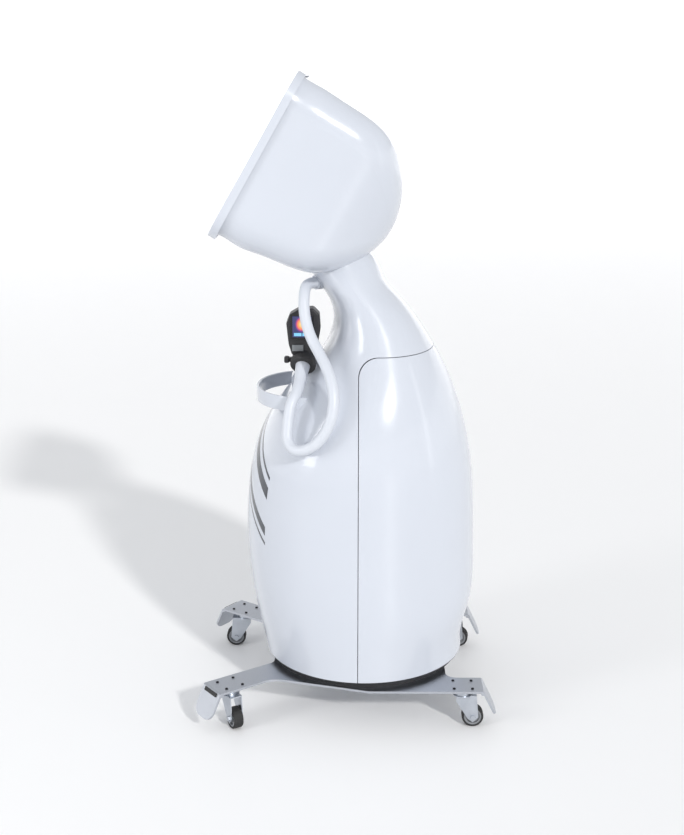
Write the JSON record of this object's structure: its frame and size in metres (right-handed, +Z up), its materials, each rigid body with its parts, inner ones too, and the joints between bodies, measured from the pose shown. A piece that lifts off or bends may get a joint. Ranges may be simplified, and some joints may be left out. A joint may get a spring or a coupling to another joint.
{
  "type": "facial steamer",
  "caption": "Free-standing facial vapour machine: oval white body on a castor base, leaning neck with a large open hood, a hose and a handpiece with a screen.",
  "frame": {"origin": "on the floor under the middle of the base", "axes": "+Z up, the front of the machine faces -Y, +X is the side that the handpiece's screen faces"},
  "size_m": [0.5836, 0.6921, 1.4706],
  "materials": {
    "white_gloss": "gloss",
    "steel_sheet": "satin",
    "zinc_steel": "zinc plated",
    "black_plastic": "matt",
    "black_gloss": "gloss",
    "tyre_rubber": "matt",
    "soft_rubber": "matt",
    "grey_plastic": "matt",
    "hose_white": "satin",
    "screen_glass": "gloss",
    "frame_steel": "satin",
    "tank_plastic": "satin",
    "copper_heater": "satin",
    "board_green": "matt",
    "aluminium_duct": "satin",
    "stainless": "satin"
  },
  "bodies": {
    "root": {"base_plate": "steel_sheet", "base_tray": "black_plastic", "blower_housing": "black_plastic", "blower_motor": "frame_steel", "boiler": "stainless", "bump_strips": "soft_rubber", "castor_pads": "zinc_steel", "castor_screws": "zinc_steel", "catch_keepers": "zinc_steel", "chassis_frame": "frame_steel", "control_board": "board_green", "feed_pipe": "hose_white", "front_shell": "white_gloss", "handpiece_saddle": "white_gloss", "heater_element": "copper_heater", "holder_hoop": "white_gloss", "hood_rim": "white_gloss", "hood_shell": "white_gloss", "hose": "hose_white", "hose_gland": "hose_white", "inlet_panel": "frame_steel", "mains_inlet": "black_plastic", "mixing_box": "aluminium_duct", "neck_ring": "frame_steel", "power_supply": "aluminium_duct", "riser_duct": "aluminium_duct", "switch_frame": "black_plastic", "vapour_outlet": "aluminium_duct", "water_tank": "tank_plastic"},
    "swivel_front_right": {"castor_fork_front_right": "zinc_steel", "castor_axle_front_right": "zinc_steel"},
    "wheel_front_right": {"castor_hub_front_right": "grey_plastic", "castor_tyre_front_right": "tyre_rubber"},
    "swivel_rear_right": {"castor_fork_rear_right": "zinc_steel", "castor_axle_rear_right": "zinc_steel"},
    "wheel_rear_right": {"castor_hub_rear_right": "grey_plastic", "castor_tyre_rear_right": "tyre_rubber"},
    "swivel_front_left": {"castor_fork_front_left": "zinc_steel", "castor_axle_front_left": "zinc_steel"},
    "wheel_front_left": {"castor_hub_front_left": "grey_plastic", "castor_tyre_front_left": "tyre_rubber"},
    "swivel_rear_left": {"castor_fork_rear_left": "zinc_steel", "castor_axle_rear_left": "zinc_steel"},
    "wheel_rear_left": {"castor_hub_rear_left": "grey_plastic", "castor_tyre_rear_left": "tyre_rubber"},
    "rear_cover": {"rear_cover": "white_gloss", "catch_magnets": "black_plastic"},
    "handpiece": {"handpiece_shell": "black_plastic", "screen_bezel": "black_gloss", "screen": "screen_glass", "hose_collar": "soft_rubber", "hose_cuff": "hose_white", "nozzle": "stainless"},
    "trigger": {"trigger": "black_plastic"},
    "menu_button": {"menu_button": "grey_plastic"},
    "impeller": {"impeller": "grey_plastic"},
    "tank_cap": {"tank_cap": "black_plastic"},
    "power_switch": {"power_switch": "black_gloss"}
  },
  "joints": [
    {"name": "swivel_front_right", "type": "hinge", "parent": "root", "child": "swivel_front_right", "pos_m": [0.222, -0.261, 0.08], "axis": [0, 0, 1], "continuous": true},
    {"name": "roll_front_right", "type": "hinge", "parent": "swivel_front_right", "child": "wheel_front_right", "pos_m": [0.24279, -0.249, 0.025], "axis": [-0.5, 0.866, 0], "continuous": true},
    {"name": "swivel_rear_right", "type": "hinge", "parent": "root", "child": "swivel_rear_right", "pos_m": [0.224, 0.276, 0.08], "axis": [0, 0, 1], "continuous": true},
    {"name": "roll_rear_right", "type": "hinge", "parent": "swivel_rear_right", "child": "wheel_rear_right", "pos_m": [0.224, 0.3, 0.025], "axis": [-1, 0, 0], "continuous": true},
    {"name": "swivel_front_left", "type": "hinge", "parent": "root", "child": "swivel_front_left", "pos_m": [-0.222, -0.261, 0.08], "axis": [0, 0, 1], "continuous": true},
    {"name": "roll_front_left", "type": "hinge", "parent": "swivel_front_left", "child": "wheel_front_left", "pos_m": [-0.222, -0.285, 0.025], "axis": [1, 0, 0], "continuous": true},
    {"name": "swivel_rear_left", "type": "hinge", "parent": "root", "child": "swivel_rear_left", "pos_m": [-0.224, 0.276, 0.08], "axis": [0, 0, 1], "continuous": true},
    {"name": "roll_rear_left", "type": "hinge", "parent": "swivel_rear_left", "child": "wheel_rear_left", "pos_m": [-0.22066, 0.29977, 0.025], "axis": [-0.9903, 0.1392, 0], "continuous": true},
    {"name": "rear_cover_pull", "type": "slide", "parent": "root", "child": "rear_cover", "axis": [0, 1, 0], "range_m": [0, 0.15]},
    {"name": "handpiece_lift", "type": "slide", "parent": "root", "child": "handpiece", "axis": [0, -0.9061, 0.423], "range_m": [0, 0.05]},
    {"name": "trigger_press", "type": "slide", "parent": "handpiece", "child": "trigger", "axis": [0, 1, 0], "range_m": [0, 0.004], "stiffness_N_per_m": 600, "springref_m": -0.001},
    {"name": "menu_button_press", "type": "slide", "parent": "handpiece", "child": "menu_button", "axis": [-1, 0, 0], "range_m": [0, 0.0015], "stiffness_N_per_m": 800, "springref_m": -0.001},
    {"name": "impeller_spin", "type": "hinge", "parent": "root", "child": "impeller", "pos_m": [-0.068, 0.01, 0.396], "axis": [0, 0, 1], "continuous": true},
    {"name": "tank_cap_lift", "type": "slide", "parent": "root", "child": "tank_cap", "axis": [0, 0, 1], "range_m": [0, 0.03]},
    {"name": "power_switch_rock", "type": "hinge", "parent": "root", "child": "power_switch", "pos_m": [0.026, 0.253, 0.178], "axis": [1, 0, 0], "range_deg": [0, 14]}
  ]
}
